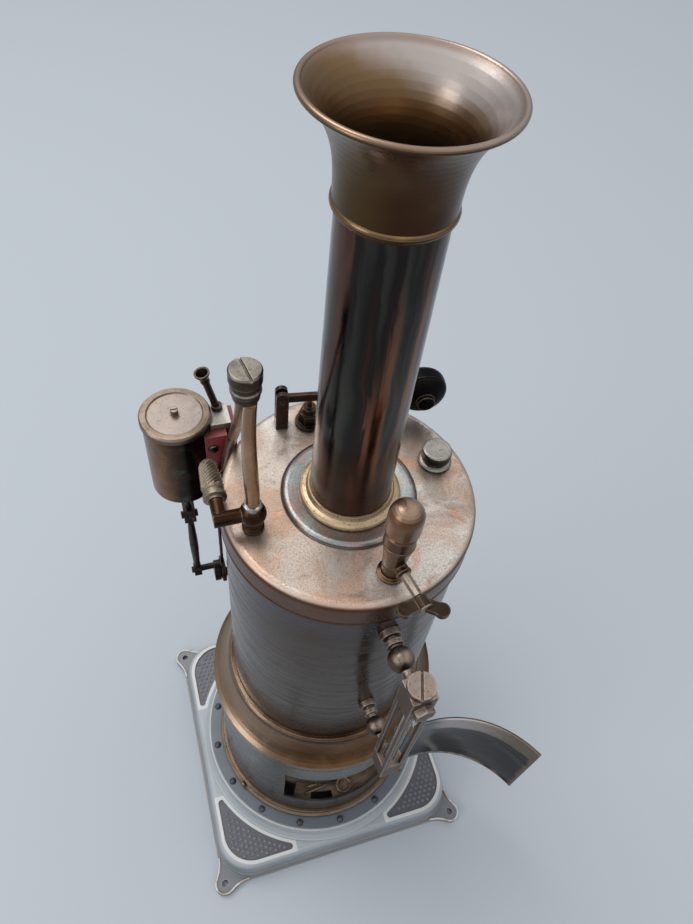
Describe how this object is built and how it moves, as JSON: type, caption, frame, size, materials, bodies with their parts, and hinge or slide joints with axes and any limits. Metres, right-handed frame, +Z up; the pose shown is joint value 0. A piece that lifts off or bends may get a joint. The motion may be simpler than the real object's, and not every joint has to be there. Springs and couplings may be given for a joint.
{
  "type": "model stationary steam engine",
  "caption": "Model vertical steam engine: fired boiler with chimney on a square cast base, open fire door, water gauge, whistle, safety valve and a small side engine.",
  "frame": {"origin": "centre of the four foot holes, on the surface that the base stands on", "axes": "+Z up along the boiler and chimney; -Y towards the fire door, gauge and whistle; +Y towards the engine; +X towards the filler plug"},
  "size_m": [0.151, 0.1462, 0.3653],
  "materials": {
    "aged_bronze": "aged, browned and handled",
    "dark_bronze": "dark oiled",
    "bright_brass": "worn bright",
    "copper": "tarnished copper",
    "blued_sheet": "heat blued, scratched",
    "tempered_sheet": "heat coloured by firing",
    "grey_enamel": "painted grey with pale lines, worn",
    "red_enamel": "painted red",
    "black_iron": "black, rubbed at the rim",
    "steel": "dull steel",
    "glass": "clear"
  },
  "bodies": {
    "engine": {"base_casting": "grey_enamel", "base_rivets": "grey_enamel", "firebox_wall": "blued_sheet", "firebox_band": "aged_bronze", "burner_tank": "aged_bronze", "burner_tubes": "bright_brass", "door_hinge": "aged_bronze", "skirt_ring": "aged_bronze", "boiler_shell": "blued_sheet", "boiler_bottom": "copper", "flue_tube": "copper", "boiler_lid": "aged_bronze", "chimney_collar": "bright_brass", "chimney_tube": "tempered_sheet", "chimney_mouth": "aged_bronze", "filler_plug": "dark_bronze", "whistle_body": "dark_bronze", "whistle_bell": "aged_bronze", "safety_valve": "dark_bronze", "safety_post": "dark_bronze", "stop_valve_body": "aged_bronze", "steam_pipe_up": "copper", "oil_cup": "dark_bronze", "steam_pipe_down": "copper", "gauge_top_fitting": "aged_bronze", "gauge_bottom_fitting": "aged_bronze", "gauge_cage": "aged_bronze", "gauge_glass": "glass", "engine_column": "red_enamel", "shaft_bracket": "red_enamel", "engine_cylinder": "dark_bronze", "cylinder_lid": "aged_bronze", "chest_cover": "steel", "exhaust_pipe": "aged_bronze", "piston_rod": "steel", "valve_spindle": "steel"},
    "door": {"fire_door": "blued_sheet"},
    "whistle_cock": {"whistle_lever": "dark_bronze"},
    "safety_arm": {"safety_lever": "dark_bronze", "safety_weight": "black_iron"},
    "valve_handle": {"stop_valve_handle": "aged_bronze"},
    "crank": {"crankshaft": "steel", "flywheel": "black_iron"},
    "rod": {"connecting_rod": "steel"},
    "strap": {"eccentric_rod": "dark_bronze"}
  },
  "joints": [
    {"name": "door_swing", "type": "hinge", "parent": "engine", "child": "door", "pos_m": [0.03124, -0.03723, 0.0709], "axis": [0, 0, 1], "range_deg": [-151, 7]},
    {"name": "whistle_turn", "type": "hinge", "parent": "engine", "child": "whistle_cock", "pos_m": [0.00594, -0.04298, 0.24908], "axis": [0.1908, -0.9816, 0], "range_deg": [0, 80]},
    {"name": "safety_lift", "type": "hinge", "parent": "engine", "child": "safety_arm", "pos_m": [-0.01408, 0.03062, 0.2542], "axis": [0.1253, 0.9921, 0], "range_deg": [-12, 0]},
    {"name": "valve_turn", "type": "hinge", "parent": "engine", "child": "valve_handle", "pos_m": [-0.04086, 0.00047, 0.249], "axis": [0, 1, 0], "range_deg": [0, 180]},
    {"name": "crank_turn", "type": "hinge", "parent": "engine", "child": "crank", "pos_m": [0, 0.046, 0.124], "axis": [1, 0, 0], "continuous": true},
    {"name": "rod_turn", "type": "hinge", "parent": "crank", "child": "rod", "pos_m": [-0.0467, 0.046, 0.132], "axis": [1, 0, 0], "continuous": true},
    {"name": "strap_turn", "type": "hinge", "parent": "crank", "child": "strap", "pos_m": [-0.0354, 0.048, 0.124], "axis": [1, 0, 0], "continuous": true}
  ],
  "couplings": [
    {"joint": "rod_turn", "follows": "crank_turn", "ratio": -1},
    {"joint": "strap_turn", "follows": "crank_turn", "ratio": -1}
  ]
}
